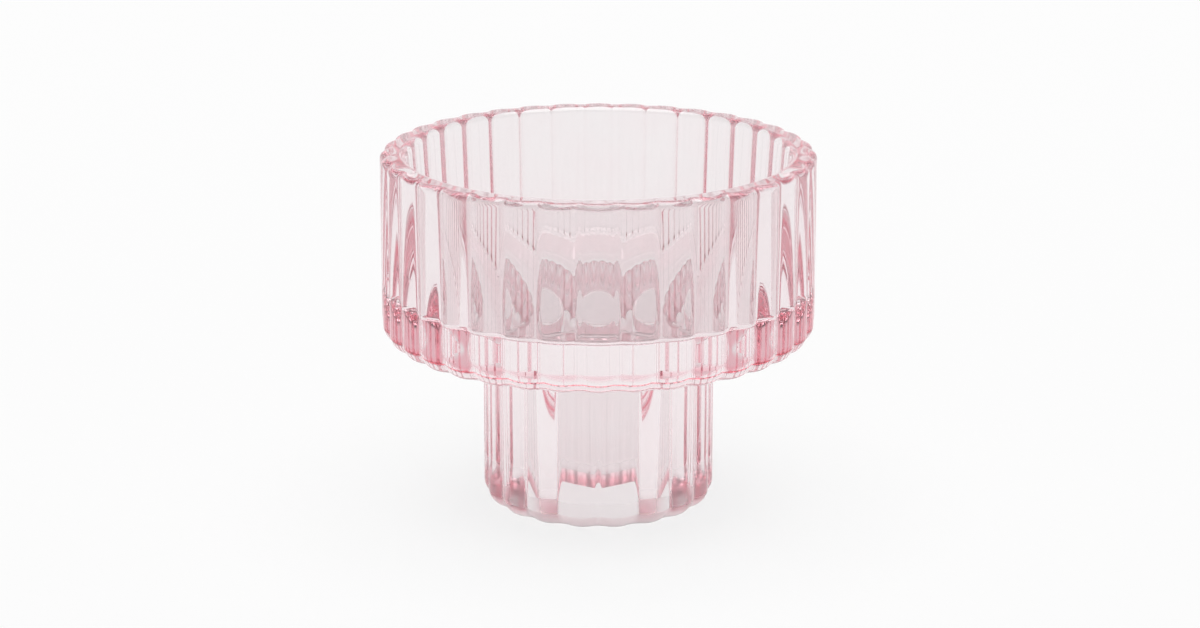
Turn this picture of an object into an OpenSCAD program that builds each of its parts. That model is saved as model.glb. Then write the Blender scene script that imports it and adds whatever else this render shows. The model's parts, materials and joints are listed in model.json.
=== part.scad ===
// Ribbed glass candlestick in two pressed pieces: a wide tealight cup bonded to a narrow foot.
// The foot is a socket for a dinner candle when the candlestick is turned over.
// Millimetres. The origin is the centre of the face it stands on, with +Z up.

/* [Cup] */
// Outside diameter of the cup, over the ribs
cup_d = 80; // [66:1:110]
// Height of the cup, from its underside to its rim
cup_h = 34.8; // [26:0.2:60]
// Thickness of the cup's floor
floor_t = 8; // [4:0.2:14]
// Thickness of the cup's wall at its rim, over the ribs
wall_t = 5; // [3.6:0.1:8]
// How much the cup's inside draws in on the radius, from its rim down to its floor
wall_draft = 2; // [0:0.1:4]
// Number of ribs around the cup
cup_ribs = 36; // [28:1:44]
// Round on the rim's inner and outer edges
rim_round = 1.4; // [0.6:0.1:1.7]
// Round on the underside's outer edge
base_round = 3.6; // [1.4:0.1:4.5]
// Round in the corner of the cup's floor
floor_round = 1.5; // [0.5:0.1:3]

/* [Foot] */
// Outside diameter of the foot, over the ribs
foot_d = 42.8; // [36:0.2:56]
// Height of the foot
foot_h = 31.4; // [24:0.2:60]
// Number of ribs around the foot
foot_ribs = 18; // [14:1:22]
// Round on the foot's lower outer edge
foot_round = 3.4; // [0.8:0.1:4.5]
// Round on the foot's upper outer edge
seat_round = 0.4; // [0.2:0.1:1]

/* [Candle socket] */
// Diameter of the dinner candle that the socket takes
candle_d = 21.4; // [19:0.1:26]
// Clearance all round the candle
candle_clearance = 0.3; // [0.1:0.05:0.8]
// Thickness of the glass between the socket and the top of the foot
roof_t = 6.4; // [3:0.2:12]
// Round on the socket's mouth
mouth_round = 0.4; // [0.2:0.1:1.5]
// Round in the socket's inner corner
socket_round = 1; // [0.3:0.1:3]

/* [Ribs] */
// Radius of each rib's crest
rib_r = 5.3; // [4.6:0.1:7]
// Radius of each groove between two ribs
groove_r = 1.5; // [0.8:0.1:2]

/* [Bond] */
// Thickness of the clear adhesive film between the foot and the cup
bond_t = 0.1; // [0.05:0.05:0.3]
// Distance from the foot's upper edge to the film's edge
bond_margin = 0.3; // [0.1:0.1:1]

/* [Hidden] */
$fn = 96;
// A cutter runs this far past the face that it opens
over = 1;
// A turned envelope stands off the rib crests by this much, so it trims only at the edge rounds
stand_off = 0.05;
// A groove bites this far into the ribs beside it, so that their sides cross cleanly
bite = 0.02;

cup_r = cup_d / 2;
cup_inner_r = cup_r - wall_t;
cup_base_z = foot_h + bond_t;
foot_r = foot_d / 2;
socket_r = candle_d / 2 + candle_clearance;
socket_depth = foot_h - roof_t;
// A rib faces the front of the cup, and a groove faces the front of the foot
cup_turn = 90;
foot_turn = 90 + 180 / foot_ribs;

// Distance from the axis to the centres of the rib crests
function crest_centre(d) = d / 2 - rib_r;

// Distance from the axis to the centres of the grooves, which run into the ribs on both sides
function groove_centre(d, n) =
    let (c = crest_centre(d), half_pitch = 180 / n)
    c * cos(half_pitch) + sqrt(pow(rib_r + groove_r, 2) - pow(c * sin(half_pitch), 2)) - bite;

// Outline of a ribbed piece, drawn in by a margin all round
module ribbed_outline(d, n, margin = 0) {
    crest = crest_centre(d);
    groove = groove_centre(d, n);
    pitch = 360 / n;
    difference() {
        union() {
            polygon([
                for (i = [0 : n - 1], half = [0, 0.5])
                    let (r = half == 0 ? crest : groove, a = (i + half) * pitch)
                    [r * cos(a), r * sin(a)]
            ]);
            for (i = [0 : n - 1])
                rotate(i * pitch) translate([crest, 0]) circle(r = rib_r - margin);
        }
        for (i = [0 : n - 1])
            rotate((i + 0.5) * pitch) translate([groove, 0]) circle(r = groove_r + margin);
    }
}

// Distance from a corner to where its round of radius r begins.
// The corner is lean degrees over a right angle.
function round_reach(r, lean) = r * tan(45 - lean / 2);

// The waste between a corner at the origin and its round.
// One side runs along +X, and the other leans back from +Y.
module corner_waste(r, lean = 0) {
    reach = round_reach(r, lean);
    difference() {
        polygon([[0, 0], [reach, 0], [-reach * sin(lean), reach * cos(lean)]]);
        translate([reach, r]) circle(r = r);
    }
}

// The waste outside a round on a square corner at the origin, which also runs past both sides
module outer_waste(r) {
    difference() {
        translate([-over, -over]) square(r + over);
        translate([r, r]) circle(r = r);
    }
}

// A turned envelope for a ribbed piece, with rounded lower and upper edges
module turned_envelope(piece_r, h, low_round, high_round) {
    r = piece_r + stand_off;
    rotate_extrude() difference() {
        square([r, h]);
        translate([r, 0]) mirror([1, 0]) outer_waste(low_round);
        translate([r, h]) rotate(180) outer_waste(high_round);
    }
}

// A turned hollow that opens upwards, with a rounded inner corner and a rounded mouth.
// It draws in by draft on the radius, from its mouth to its inner end.
module turned_hollow(r, depth, corner_round, mouth_edge_round, draft = 0) {
    lean = atan(draft / depth);
    rotate_extrude() {
        difference() {
            polygon([[0, 0], [r - draft, 0], [r, depth], [r, depth + over], [0, depth + over]]);
            translate([r - draft, 0]) mirror([1, 0]) corner_waste(corner_round, lean);
        }
        translate([r, depth]) mirror([0, 1]) corner_waste(mouth_edge_round, lean);
        translate([r, depth]) square([round_reach(mouth_edge_round, lean), over]);
    }
}

module cup() {
    color("pink", 0.5)
    translate([0, 0, cup_base_z])
    difference() {
        intersection() {
            rotate(cup_turn) linear_extrude(cup_h) ribbed_outline(cup_d, cup_ribs);
            turned_envelope(cup_r, cup_h, base_round, rim_round);
        }
        translate([0, 0, floor_t])
            turned_hollow(cup_inner_r, cup_h - floor_t, floor_round, rim_round, wall_draft);
    }
}

module foot() {
    color("lightpink", 0.5)
    difference() {
        intersection() {
            rotate(foot_turn) linear_extrude(foot_h) ribbed_outline(foot_d, foot_ribs);
            turned_envelope(foot_r, foot_h, foot_round, seat_round);
        }
        translate([0, 0, socket_depth]) rotate([180, 0, 0])
            turned_hollow(socket_r, socket_depth, socket_round, mouth_round);
    }
}

module bond() {
    color("white", 0.5)
    translate([0, 0, foot_h])
    rotate(foot_turn) linear_extrude(bond_t)
        ribbed_outline(foot_d, foot_ribs, seat_round + bond_margin);
}

cup();
foot();
bond();
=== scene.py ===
"""Looks of the ribbed glass candlestick: two pieces of glass, each with a thin coat of pink colour."""
import json
import math

import bpy
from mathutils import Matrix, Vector, noise


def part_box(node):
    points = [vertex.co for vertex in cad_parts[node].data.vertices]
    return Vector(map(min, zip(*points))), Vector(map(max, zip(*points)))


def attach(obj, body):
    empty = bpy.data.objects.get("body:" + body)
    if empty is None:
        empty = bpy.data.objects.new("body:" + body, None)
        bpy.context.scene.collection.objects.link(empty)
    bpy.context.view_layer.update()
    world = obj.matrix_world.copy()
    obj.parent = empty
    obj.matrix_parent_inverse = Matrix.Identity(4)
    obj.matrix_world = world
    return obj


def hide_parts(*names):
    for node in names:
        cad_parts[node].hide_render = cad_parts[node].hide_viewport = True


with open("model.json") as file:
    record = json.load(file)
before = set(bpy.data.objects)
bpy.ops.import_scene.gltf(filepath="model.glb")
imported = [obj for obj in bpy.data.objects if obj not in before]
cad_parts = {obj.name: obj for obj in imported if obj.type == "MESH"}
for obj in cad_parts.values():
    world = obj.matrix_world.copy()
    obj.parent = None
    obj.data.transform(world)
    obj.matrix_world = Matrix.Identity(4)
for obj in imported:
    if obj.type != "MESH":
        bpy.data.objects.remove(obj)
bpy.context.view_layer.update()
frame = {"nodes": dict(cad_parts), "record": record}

MM = 0.001
QUARTER = math.pi / 2

# ---------------------------------------------------------------- sizes, from the frame
CUP_LOW, CUP_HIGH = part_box("cup")
FOOT_LOW, FOOT_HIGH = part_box("foot")
MOUNTS = {m["name"]: m for m in frame["record"]["mounts"]}
WALL = 5.0 * MM
RECESS_R = CUP_HIGH.x - WALL
SOCKET_R = MOUNTS["candle_socket"]["dims"]["r_mm"] * MM
FLOOR_Z = MOUNTS["cup_floor"]["pos_m"][2]

# Ribs: radius of each crest and each groove, and how many go round each piece
RIB_R = 5.3 * MM
GROOVE_R = 1.5 * MM
CUP_RIBS = 36
FOOT_RIBS = 18

# Rounds on the edges
RIM_ROUND = 1.4 * MM
BASE_ROUND = 3.6 * MM
FLOOR_ROUND = 1.5 * MM
FOOT_ROUND = 3.4 * MM
SEAT_ROUND = 0.4 * MM
MOUTH_ROUND = 0.4 * MM
SOCKET_ROUND = 1.0 * MM

# How far the cup's inner wall and the candle socket draw in, from their mouths to their ends
CUP_DRAFT = 2.0 * MM
SOCKET_DRAFT = 0.9 * MM

# Glass above the candle socket, and how far the adhesive film stays inside the foot's outline
ROOF = 6.4 * MM
BOND_INSET = 0.7 * MM

# Radii of the extra rings on the level faces. The coats' first radius is where the coat begins
CUP_BONDED_RADII = [0.0, 7 * MM, 14 * MM]
CUP_UNDER_RADII = [26 * MM, 31 * MM]
CUP_FLOOR_RADII = [26 * MM, 19 * MM, 12 * MM, 6 * MM, 0.0]
FOOT_TOP_RADII = [14 * MM, 7 * MM, 0.0]
CUP_COAT_RADII = [21.6 * MM, 30 * MM]
FOOT_COAT_RADII = [12.2 * MM, 15 * MM]

# The coat of colour lies just under the outer skin. It thickens down each side, and most on the
# undersides
COAT_SKIN = 0.03 * MM
COAT_TOP = 0.18 * MM
COAT_SIDE = 0.5 * MM
COAT_UNDER = 0.6 * MM
COAT_COLOUR = (0.96, 0.03, 0.2)
COAT_DENSITY = 70.0

# Refractive index of the glass
GLASS_INDEX = 1.52

# The foot is a little dull up to this height
RUBBED_HEIGHT = 3.0 * MM
RUBBED_ROUGHNESS = 0.36

# Waves that pressing and fire polishing leave in the glass
WAVE_DEPTH = 0.04 * MM
WAVE_LENGTH = 9.0 * MM

# Mesh steps
RIB_STEPS = 10
GROOVE_STEPS = 7
ROUND_STEPS = 8
RING_GAP = 2.2 * MM
SUPPORT = 0.25 * MM


# ---------------------------------------------------------------- ribbed outlines
class Outline:
    """A ring of ribs: arcs of radius RIB_R, which meet arcs of radius GROOVE_R in the grooves."""

    def __init__(self, radius, ribs):
        self.ribs = ribs
        self.half = math.pi / ribs
        self.crest = radius - RIB_R
        across = self.crest * math.sin(self.half)
        along = math.sqrt((RIB_R + GROOVE_R) ** 2 - across**2)
        self.groove = self.crest * math.cos(self.half) + along
        # Direction from a crest's centre to a groove's, which is where their arcs meet
        self.lean = math.atan2(self.groove * math.sin(self.half),
                               self.groove * math.cos(self.half) - self.crest)

    def on_crest(self, lean, inset=0.0):
        """Angle about the axis of the point on a crest's arc that faces along lean."""
        crest_r = RIB_R - inset
        return math.atan2(crest_r * math.sin(lean), self.crest + crest_r * math.cos(lean))

    def radius(self, angle, inset):
        """Distance from the axis to the outline drawn in by inset."""
        turn = abs((angle + self.half) % (2 * self.half) - self.half)
        if turn <= self.on_crest(self.lean, inset):
            side = math.sqrt((RIB_R - inset) ** 2 - (self.crest * math.sin(turn)) ** 2)
            return self.crest * math.cos(turn) + side
        turn = self.half - turn
        side = math.sqrt((GROOVE_R + inset) ** 2 - (self.groove * math.sin(turn)) ** 2)
        return self.groove * math.cos(turn) - side

    def angles(self):
        """Angles once round, closer together in the grooves."""
        meet = self.on_crest(self.lean)
        part = [self.on_crest(self.lean * i / RIB_STEPS) for i in range(RIB_STEPS)]
        part += [meet + (self.half - meet) * i / GROOVE_STEPS for i in range(GROOVE_STEPS)]
        pitch = part + [self.half] + [2 * self.half - a for a in part[:0:-1]]
        return [2 * self.half * rib + a for rib in range(self.ribs) for a in pitch]


CUP_LINE = Outline(CUP_HIGH.x, CUP_RIBS)
FOOT_LINE = Outline(FOOT_HIGH.x, FOOT_RIBS)


# ---------------------------------------------------------------- profiles
# A profile is a list of rings (outline, size, z). The size is the outline's inset, or the radius of
# a plain ring, where outline is None. It runs with the glass on its left, so faces point outwards.
def arc(outline, size, z, width, start, end, height=None):
    """A quarter round about (size, z), between two angles. Its height is its width unless given."""
    rings = []
    for i in range(ROUND_STEPS + 1):
        a = start + (end - start) * i / ROUND_STEPS
        out = width * math.cos(a)
        up = (width if height is None else height) * math.sin(a)
        rings.append((outline, size - out if outline else size + out, z + up))
    return rings


def upright(outline, size, z0, z1, end_size=None):
    """Rings along a wall between two rounds. The size changes evenly to end_size, if that is given."""
    step = math.copysign(SUPPORT, z1 - z0)
    span = z1 - z0 - 2 * step
    count = max(1, round(abs(span) / RING_GAP))
    change = 0.0 if end_size is None else end_size - size
    rings = []
    for i in range(count + 1):
        z = z0 + step + span * i / count
        rings.append((outline, size + change * (z - z0) / (z1 - z0), z))
    return rings


def level(z, radii):
    """Plain rings on a level face."""
    return [(None, r, z) for r in radii]


def side(line, low, high, low_round, high_round, under=0.0, margin=0.0, top_margin=0.0):
    """A ribbed side with its rounds, drawn in by under at its foot and by the margins up its height."""
    bottom = low + low_round
    top = high - high_round
    rings = arc(line, low_round, bottom, low_round - margin, -QUARTER, 0.0, low_round - under)
    rings += upright(line, margin, bottom, top, top_margin)
    return rings + arc(line, high_round, top, high_round - top_margin, 0.0, QUARTER)


def cup_profile():
    """From the middle of the underside, up the outside and over the rim, to the middle of the floor."""
    under = CUP_LOW.z
    rim = CUP_HIGH.z - RIM_ROUND
    corner = FLOOR_Z + FLOOR_ROUND
    rings = level(under, CUP_BONDED_RADII)
    rings += [(FOOT_LINE, BOND_INSET, under)]
    rings += level(under, CUP_UNDER_RADII)
    rings += [(CUP_LINE, BASE_ROUND + SUPPORT, under)]
    rings += side(CUP_LINE, under, CUP_HIGH.z, BASE_ROUND, RIM_ROUND)
    rings += arc(None, RECESS_R + RIM_ROUND, rim, RIM_ROUND, QUARTER, 2 * QUARTER)
    floor_r = RECESS_R - CUP_DRAFT
    rings += upright(None, RECESS_R, rim, corner, floor_r)
    rings += arc(None, floor_r - FLOOR_ROUND, corner, FLOOR_ROUND, 0.0, -QUARTER)
    rings += level(FLOOR_Z, [floor_r - FLOOR_ROUND - SUPPORT] + CUP_FLOOR_RADII)
    return rings


def foot_profile():
    """From the middle of the socket's ceiling, down and round the outside, to the middle of the top."""
    top = FOOT_HIGH.z
    ceiling = top - ROOF
    corner = ceiling - SOCKET_ROUND
    end_r = SOCKET_R - SOCKET_DRAFT
    inner = end_r - SOCKET_ROUND
    rings = level(ceiling, [0.0, inner / 2, inner - SUPPORT])
    rings += arc(None, inner, corner, SOCKET_ROUND, QUARTER, 0.0)
    rings += upright(None, end_r, corner, MOUTH_ROUND, SOCKET_R)
    rings += arc(None, SOCKET_R + MOUTH_ROUND, MOUTH_ROUND, MOUTH_ROUND, 2 * QUARTER, 3 * QUARTER)
    rings += level(0.0, [SOCKET_R + MOUTH_ROUND + SUPPORT])
    rings += [(FOOT_LINE, FOOT_ROUND + SUPPORT, 0.0)]
    rings += side(FOOT_LINE, 0.0, top, FOOT_ROUND, SEAT_ROUND)
    rings += [(FOOT_LINE, BOND_INSET, top)]
    rings += level(top, FOOT_TOP_RADII)
    return rings


def coat_profile(line, low, high, low_round, high_round, radii):
    """A closed profile from the given radii on the underside: out just under the skin and up the side,
    and back at the coat's inner face."""
    skin = [COAT_SKIN] * 3
    inner = [COAT_SKIN + thickness for thickness in (COAT_UNDER, COAT_SIDE, COAT_TOP)]
    out = level(low + skin[0], radii) + side(line, low, high, low_round, high_round, *skin)
    back = level(low + inner[0], radii) + side(line, low, high, low_round, high_round, *inner)
    return out + back[::-1] + out[:1]


# ---------------------------------------------------------------- meshes
def ring_points(ring, angles):
    """The points of one ring, with the glass's waves in it. A ring of no radius is one point."""
    outline, size, z = ring
    if outline is None and size == 0.0:
        return [Vector((0.0, 0.0, z))]
    points = []
    for a in angles:
        r = outline.radius(a, size) if outline else size
        out = Vector((math.cos(a), math.sin(a), 0.0))
        at = (out * r + Vector((0.0, 0.0, z))) / WAVE_LENGTH
        points.append(out * (r - WAVE_DEPTH * (0.5 + 0.5 * noise.noise(at))) + Vector((0.0, 0.0, z)))
    return points


def low_bands(profile, height):
    """Numbers of the bands between rings that both lie below a height."""
    pairs = enumerate(zip(profile, profile[1:]))
    return [band for band, pair in pairs if max(z for _, _, z in pair) < height]


def lathe(name, line, profile, material, patches=()):
    """A piece made of rings about the axis. Each patch is a material and the numbers of its bands."""
    angles = line.angles()
    count = len(angles)
    verts, rows = [], []
    for ring in profile:
        points = ring_points(ring, angles)
        row = range(len(verts), len(verts) + len(points))
        rows.append(list(row) if len(points) > 1 else [row[0]] * count)
        verts += points
    if profile[0] == profile[-1]:
        rows[-1] = rows[0]
        verts = verts[:-count]
    slot_of = {band: slot for slot, (_, bands) in enumerate(patches, 1) for band in bands}
    faces, slots = [], []
    for band, (one, two) in enumerate(zip(rows, rows[1:])):
        for i in range(count):
            j = (i + 1) % count
            faces.append(tuple(dict.fromkeys((one[i], one[j], two[j], two[i]))))
            slots.append(slot_of.get(band, 0))
    mesh = bpy.data.meshes.new(name)
    mesh.from_pydata(verts, [], faces)
    mesh.polygons.foreach_set("use_smooth", [True] * len(faces))
    mesh.polygons.foreach_set("material_index", slots)
    for each in [material] + [patch for patch, _ in patches]:
        mesh.materials.append(each)
    mesh.update()
    piece = bpy.data.objects.new(name, mesh)
    bpy.context.scene.collection.objects.link(piece)
    return piece


# ---------------------------------------------------------------- materials
def new_material(name):
    """A node material with only a Principled surface, and its tree and shader."""
    material = bpy.data.materials.new(name)
    material.use_nodes = True
    tree = material.node_tree
    return material, tree, tree.nodes["Principled BSDF"]


def noise_ramp(tree, scale, detail, stops):
    """The colour of noise in the object's coordinates, through a ramp of (place, colour) stops."""
    where = tree.nodes.new("ShaderNodeTexCoord")
    speckle = tree.nodes.new("ShaderNodeTexNoise")
    speckle.inputs["Scale"].default_value = scale
    speckle.inputs["Detail"].default_value = detail
    ramp = tree.nodes.new("ShaderNodeValToRGB")
    for element, (place, colour) in zip(ramp.color_ramp.elements, stops):
        element.position = place
        element.color = (*colour, 1.0)
    tree.links.new(where.outputs["Object"], speckle.inputs["Vector"])
    tree.links.new(speckle.outputs["Fac"], ramp.inputs["Fac"])
    return ramp.outputs["Color"]


def absorb(tree, colour, density):
    """Colours the light that goes through the material."""
    volume = tree.nodes.new("ShaderNodeVolumeAbsorption")
    volume.inputs["Color"].default_value = (*colour, 1.0)
    volume.inputs["Density"].default_value = density
    tree.links.new(volume.outputs["Volume"], tree.nodes["Material Output"].inputs["Volume"])


def glass_material(name, roughness):
    """Clear pressed glass, with a trace of pink in its skin."""
    material, tree, shader = new_material(name)
    shader.inputs["Transmission Weight"].default_value = 1.0
    shader.inputs["IOR"].default_value = GLASS_INDEX
    shader.inputs["Roughness"].default_value = roughness
    tint = noise_ramp(tree, 60.0, 2.0, [(0.3, (0.90, 0.875, 0.88)), (0.7, (0.91, 0.885, 0.89))])
    tree.links.new(tint, shader.inputs["Base Color"])
    return material


def coat_material():
    """A sprayed pink coat that the glass's index runs straight through, a little uneven."""
    material, tree, shader = new_material("pink_coat")
    shader.inputs["Transmission Weight"].default_value = 1.0
    shader.inputs["IOR"].default_value = 1.0
    shader.inputs["Roughness"].default_value = 0.0
    uneven = noise_ramp(tree, 90.0, 3.0, [(0.35, (1.0, 0.985, 0.988)), (0.65, (1.0, 1.0, 1.0))])
    tree.links.new(uneven, shader.inputs["Base Color"])
    absorb(tree, COAT_COLOUR, COAT_DENSITY)
    return material


def clear_material(name):
    """A face with glass on both sides, which doesn't show apart from faint specks."""
    material, tree, shader = new_material(name)
    shader.inputs["Transmission Weight"].default_value = 1.0
    shader.inputs["Roughness"].default_value = 0.0
    specks = noise_ramp(tree, 400.0, 2.0, [(0.72, (0.0, 0.0, 0.0)), (0.8, (0.03, 0.03, 0.03))])
    tree.links.new(specks, shader.inputs["Alpha"])
    return material


GLASS = glass_material("pressed_glass", 0.0)
RUBBED = glass_material("rubbed_glass", RUBBED_ROUGHNESS)
COAT = coat_material()
BONDED = clear_material("bonded_glass_face")
ADHESIVE = clear_material("clear_adhesive_film")

# ---------------------------------------------------------------- pieces
cup = lathe("cup_glass", CUP_LINE, cup_profile(), GLASS, [(BONDED, range(len(CUP_BONDED_RADII)))])
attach(cup, "root")
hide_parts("cup")

foot_rings = foot_profile()
foot_bands = len(foot_rings) - 1
foot = lathe("foot_glass", FOOT_LINE, foot_rings, GLASS,
             [(BONDED, range(foot_bands - len(FOOT_TOP_RADII), foot_bands)),
              (RUBBED, low_bands(foot_rings, RUBBED_HEIGHT))])
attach(foot, "root")
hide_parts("foot")

cup_coat = lathe("cup_coat", CUP_LINE,
                 coat_profile(CUP_LINE, CUP_LOW.z, CUP_HIGH.z, BASE_ROUND, RIM_ROUND, CUP_COAT_RADII),
                 COAT)
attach(cup_coat, "root")

foot_coat = lathe("foot_coat", FOOT_LINE,
                  coat_profile(FOOT_LINE, 0.0, FOOT_HIGH.z, FOOT_ROUND, SEAT_ROUND, FOOT_COAT_RADII),
                  COAT)
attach(foot_coat, "root")

bond = frame["nodes"]["bond"]
bond.data.materials.clear()
bond.data.materials.append(ADHESIVE)

# ---------------------------------------------------------------- floor
FLOOR_HALF = 3.0
FLOOR_DROP = 0.1 * MM
FLOOR_GREY = 0.15
FLOOR_GLOW = 0.80

floor_mesh = bpy.data.meshes.new("floor")
signs = [(-1, -1), (1, -1), (1, 1), (-1, 1)]
floor_corners = [(x * FLOOR_HALF, y * FLOOR_HALF, -FLOOR_DROP) for x, y in signs]
floor_mesh.from_pydata(floor_corners, [], [(0, 1, 2, 3)])
floor = bpy.data.objects.new("floor", floor_mesh)
bpy.context.scene.collection.objects.link(floor)
paper, _, paper_shader = new_material("pale_paper")
paper_shader.inputs["Roughness"].default_value = 0.9
paper_shader.inputs["Specular IOR Level"].default_value = 0.2
paper_shader.inputs["Base Color"].default_value = (FLOOR_GREY, FLOOR_GREY, FLOOR_GREY, 1.0)
paper_shader.inputs["Emission Color"].default_value = (1.0, 1.0, 1.0, 1.0)
paper_shader.inputs["Emission Strength"].default_value = FLOOR_GLOW
floor_mesh.materials.append(paper)

# ---------------------------------------------------------------- light
# Height above the horizon, as the sine of the elevation, and the light that comes from there
SKY = [(0.0, 0.93), (0.16, 0.93), (0.22, 0.82), (0.38, 0.82),
       (0.50, 0.15), (0.84, 0.15), (0.90, 3.4), (1.0, 3.4)]
SKY_PEAK = 4.0

world = bpy.data.worlds.new("studio")
bpy.context.scene.world = world
world.use_nodes = True
sky = world.node_tree
direction = sky.nodes.new("ShaderNodeTexCoord")
split = sky.nodes.new("ShaderNodeSeparateXYZ")
ramp = sky.nodes.new("ShaderNodeValToRGB")
while len(ramp.color_ramp.elements) < len(SKY):
    ramp.color_ramp.elements.new(0.5)
for element, (height, light) in zip(ramp.color_ramp.elements, SKY):
    element.position = height
    element.color = (light / SKY_PEAK, light / SKY_PEAK, light / SKY_PEAK, 1.0)
sky.links.new(direction.outputs["Generated"], split.inputs["Vector"])
sky.links.new(split.outputs["Z"], ramp.inputs["Fac"])
sky.links.new(ramp.outputs["Color"], sky.nodes["Background"].inputs["Color"])
sky.nodes["Background"].inputs["Strength"].default_value = SKY_PEAK

# ---------------------------------------------------------------- camera
CAMERA_DISTANCE = 0.64
CAMERA_ELEVATION = math.radians(16.4)
CAMERA_TARGET = Vector((0.3 * MM, 0.0, 35.2 * MM))
CAMERA_LENS = 103.7
CAMERA_SENSOR = 36.0

back = Vector((0.0, -math.cos(CAMERA_ELEVATION), math.sin(CAMERA_ELEVATION)))
camera_data = bpy.data.cameras.new("camera")
camera_data.lens = CAMERA_LENS
camera_data.sensor_width = CAMERA_SENSOR
camera = bpy.data.objects.new("camera", camera_data)
camera.location = CAMERA_TARGET + back * CAMERA_DISTANCE
camera.rotation_euler = (-back).to_track_quat("-Z", "Y").to_euler()
bpy.context.scene.collection.objects.link(camera)
bpy.context.scene.camera = camera

# ---------------------------------------------------------------- how light is followed
scene = bpy.context.scene
scene.view_settings.view_transform = "Standard"
scene.cycles.max_bounces = 64
scene.cycles.transmission_bounces = 64
scene.cycles.glossy_bounces = 16
scene.cycles.transparent_max_bounces = 64
